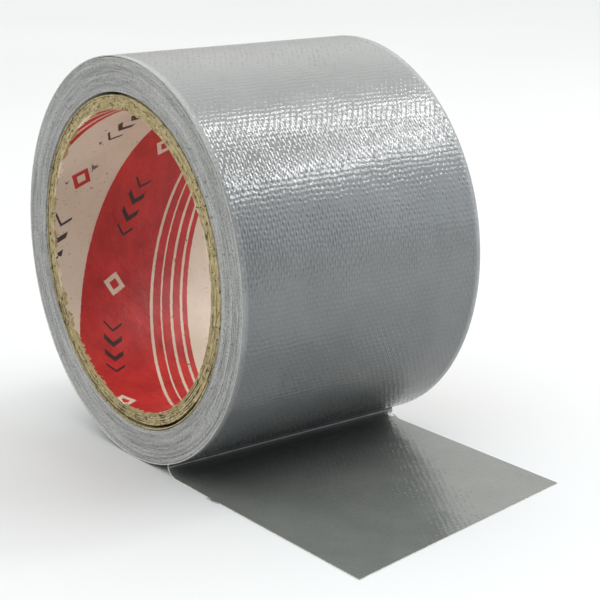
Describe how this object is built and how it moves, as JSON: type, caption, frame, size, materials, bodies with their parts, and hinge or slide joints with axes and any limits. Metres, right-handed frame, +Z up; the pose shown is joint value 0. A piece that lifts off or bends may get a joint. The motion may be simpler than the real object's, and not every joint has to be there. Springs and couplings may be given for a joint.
{
  "type": "duct tape roll",
  "caption": "Roll of silver cloth-backed tape on a spiral-wound paperboard core, with its outer end peeled back under it and lying flat as a free tail.",
  "frame": {"origin": "on the axis of the core's bore, halfway along it", "axes": "+Y along the bore, +Z up with the roll standing on its tread, +X towards the free end of the tail"},
  "size_m": [0.1443, 0.072, 0.1026],
  "materials": {
    "tape_film": "glossy polyethylene with the weave of the cloth showing through",
    "tape_scrim": "open plain weave",
    "tape_adhesive": "tacky natural rubber",
    "tape_edge": "slit edges of the wound wraps, satin with fine rings",
    "core_board": "cut kraft paperboard, fibrous",
    "core_print": "printed in helical red and white bands, satin"
  },
  "bodies": {
    "peel_bend": {"bend_adhesive": "tape_adhesive", "bend_scrim": "tape_scrim", "bend_film": "tape_film"},
    "roll": {"core_label": "core_print", "core_ply_1": "core_board", "core_ply_2": "core_board", "core_ply_3": "core_board", "core_ply_4": "core_board", "core_ply_5": "core_board", "core_outer_ply": "core_board", "wound_tape": "tape_edge", "outer_wrap_adhesive": "tape_adhesive", "outer_wrap_scrim": "tape_scrim", "outer_wrap_film": "tape_film"},
    "tail_root": {"root_adhesive": "tape_adhesive", "root_scrim": "tape_scrim", "root_film": "tape_film"},
    "tail": {"tail_adhesive": "tape_adhesive", "tail_scrim": "tape_scrim", "tail_film": "tape_film"}
  },
  "joints": [
    {"name": "roll_spin", "type": "hinge", "parent": "peel_bend", "child": "roll", "pos_m": [0, 0, 0], "axis": [0, 1, 0], "range_deg": [0, 280]},
    {"name": "tail_lift", "type": "hinge", "parent": "peel_bend", "child": "tail_root", "pos_m": [0.0206, 0, -0.05106], "axis": [0, -1, 0], "range_deg": [0, 40]},
    {"name": "tail_pull", "type": "slide", "parent": "tail_root", "child": "tail", "axis": [1, 0, 0], "range_m": [0, 0.2502]}
  ],
  "couplings": [
    {"joint": "tail_pull", "follows": "roll_spin", "m_per_rad": 0.05118}
  ]
}
